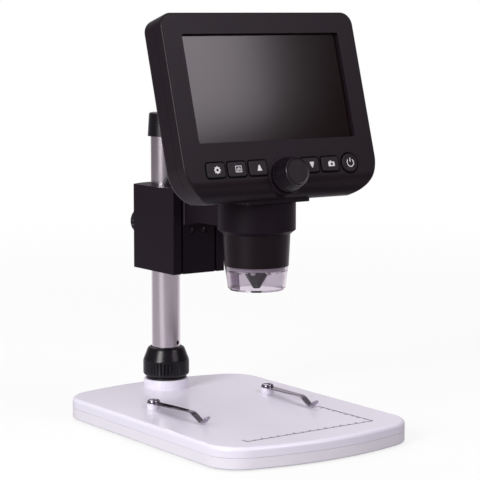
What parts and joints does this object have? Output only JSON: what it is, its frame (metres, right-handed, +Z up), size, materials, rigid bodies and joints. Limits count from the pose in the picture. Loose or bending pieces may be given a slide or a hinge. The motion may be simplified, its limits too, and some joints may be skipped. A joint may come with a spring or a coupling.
{
  "type": "digital microscope",
  "caption": "Bench digital microscope: a leaning screen head with keys and a focus dial over a lit lens barrel, held by an arm and sliding bracket on a post above a flat base with clips.",
  "frame": {"origin": "centre of the base's flat underside, which the rubber feet stand 0.9 mm below", "axes": "+Z up along the post, +X to the user's right, +Y to the back, towards the post"},
  "size_m": [0.12, 0.1807, 0.2212],
  "materials": {
    "cover_white": "satin white moulded cover",
    "plate_white": "fine-textured white",
    "foot_rubber": "matt black pads",
    "screw_steel": "plain machine screws and nut",
    "weight_iron": "zinc-plated steel plate, dull",
    "collar_black": "glossy black",
    "post_steel": "brushed tube with a lengthwise grain",
    "clip_steel": "polished spring steel",
    "block_black": "satin black",
    "brake_pad": "plain nylon",
    "knob_black": "satin black",
    "gear_brass": "machined brass",
    "barrel_black": "satin black",
    "tip_clear": "clear polycarbonate",
    "lens_glass": "coated lens",
    "lamp_clear": "water-clear lamps",
    "board_green": "green solder mask",
    "shell_charcoal": "fine-textured charcoal",
    "display_glass": "glossy cover glass",
    "panel_dark": "dark screen, switched off",
    "switch_grey": "small switches",
    "battery_foil": "foil pouch",
    "socket_steel": "pressed socket shells",
    "key_grey": "satin dark grey with white signs"
  },
  "bodies": {
    "base": {"base_cover": "cover_white", "base_plate": "plate_white", "rubber_feet": "foot_rubber", "base_screws": "screw_steel", "base_weight": "weight_iron", "post_collet": "collar_black", "socket_nut": "screw_steel", "clip_screws": "clip_steel"},
    "collar": {"collar_nut": "collar_black"},
    "post": {"post_tube": "post_steel", "post_cap": "collar_black"},
    "bracket": {"bracket_block": "block_black", "brake_pad": "brake_pad"},
    "thumb": {"thumb_screw": "knob_black"},
    "focus": {"focus_shaft": "gear_brass", "focus_knob": "knob_black"},
    "head": {"dovetail_slide": "block_black", "slide_screws": "screw_steel", "slide_rack": "gear_brass", "holder_arm": "block_black", "arm_screws": "screw_steel", "ring_screw": "screw_steel", "lens_barrel": "barrel_black", "clear_tip": "tip_clear", "lamp_board": "board_green", "lamps": "lamp_clear", "sensor_board": "board_green", "front_shell": "shell_charcoal", "rear_shell": "shell_charcoal", "shell_screws": "screw_steel", "display_glass": "display_glass", "display_panel": "panel_dark", "main_board": "board_green", "key_switches": "switch_grey", "battery": "battery_foil", "usb_socket": "socket_steel", "card_socket": "socket_steel", "dial_bush": "gear_brass", "neck_housing": "shell_charcoal", "neck_screws": "screw_steel"},
    "lens": {"lens_carriage": "barrel_black", "objective_lens": "lens_glass"},
    "dial": {"focus_dial": "knob_black", "dial_shaft": "gear_brass"},
    "left_clip": {"clip_left": "clip_steel"},
    "right_clip": {"clip_right": "clip_steel"},
    "key_left_outer": {"key_left_outer": "key_grey"},
    "key_left_middle": {"key_left_middle": "key_grey"},
    "key_left_inner": {"key_left_inner": "key_grey"},
    "key_right_inner": {"key_right_inner": "key_grey"},
    "key_right_middle": {"key_right_middle": "key_grey"},
    "key_power": {"key_power": "key_grey"}
  },
  "joints": [
    {"name": "collar_turn", "type": "hinge", "parent": "base", "child": "collar", "pos_m": [0, 0.0673, 0.026], "axis": [0, 0, 1], "range_deg": [0, 180]},
    {"name": "post_swivel", "type": "hinge", "parent": "base", "child": "post", "pos_m": [0, 0.0673, 0.05], "axis": [0, 0, 1], "range_deg": [-180, 180]},
    {"name": "bracket_slide", "type": "slide", "parent": "post", "child": "bracket", "axis": [0, 0, 1], "range_m": [-0.044, 0.026]},
    {"name": "thumb_turn", "type": "hinge", "parent": "bracket", "child": "thumb", "pos_m": [0, 0.088, 0.1031], "axis": [0, 1, 0], "range_deg": [0, 180]},
    {"name": "focus_slide", "type": "slide", "parent": "bracket", "child": "head", "axis": [0, 0, 1], "range_m": [-0.01, 0.02]},
    {"name": "focus_turn", "type": "hinge", "parent": "bracket", "child": "focus", "pos_m": [0.02, 0.0455, 0.1015], "axis": [1, 0, 0], "range_deg": [-230, 115]},
    {"name": "lens_slide", "type": "slide", "parent": "head", "child": "lens", "axis": [0, 0, 1], "range_m": [0, 0.008]},
    {"name": "dial_turn", "type": "hinge", "parent": "head", "child": "dial", "pos_m": [0, -0.04613, 0.13849], "axis": [0, -0.9593, 0.2823], "range_deg": [0, 148]},
    {"name": "left_clip_turn", "type": "hinge", "parent": "base", "child": "left_clip", "pos_m": [-0.0372, 0.0213, 0.0145], "axis": [0, 0, 1], "range_deg": [-15, 60]},
    {"name": "right_clip_turn", "type": "hinge", "parent": "base", "child": "right_clip", "pos_m": [0.0372, 0.0213, 0.0145], "axis": [0, 0, 1], "range_deg": [-53, 20]},
    {"name": "key_left_outer_press", "type": "slide", "parent": "head", "child": "key_left_outer", "axis": [0, 0.9593, -0.2823], "range_m": [0, 0.0006], "stiffness_N_per_m": 2500},
    {"name": "key_left_middle_press", "type": "slide", "parent": "head", "child": "key_left_middle", "axis": [0, 0.9593, -0.2823], "range_m": [0, 0.0006], "stiffness_N_per_m": 2500},
    {"name": "key_left_inner_press", "type": "slide", "parent": "head", "child": "key_left_inner", "axis": [0, 0.9593, -0.2823], "range_m": [0, 0.0006], "stiffness_N_per_m": 2500},
    {"name": "key_right_inner_press", "type": "slide", "parent": "head", "child": "key_right_inner", "axis": [0, 0.9593, -0.2823], "range_m": [0, 0.0006], "stiffness_N_per_m": 2500},
    {"name": "key_right_middle_press", "type": "slide", "parent": "head", "child": "key_right_middle", "axis": [0, 0.9593, -0.2823], "range_m": [0, 0.0006], "stiffness_N_per_m": 2500},
    {"name": "key_power_press", "type": "slide", "parent": "head", "child": "key_power", "axis": [0, 0.9593, -0.2823], "range_m": [0, 0.0006], "stiffness_N_per_m": 2500}
  ],
  "couplings": [
    {"joint": "focus_turn", "follows": "focus_slide", "rad_per_m": -200},
    {"joint": "dial_turn", "follows": "lens_slide", "rad_per_m": 319.77}
  ]
}
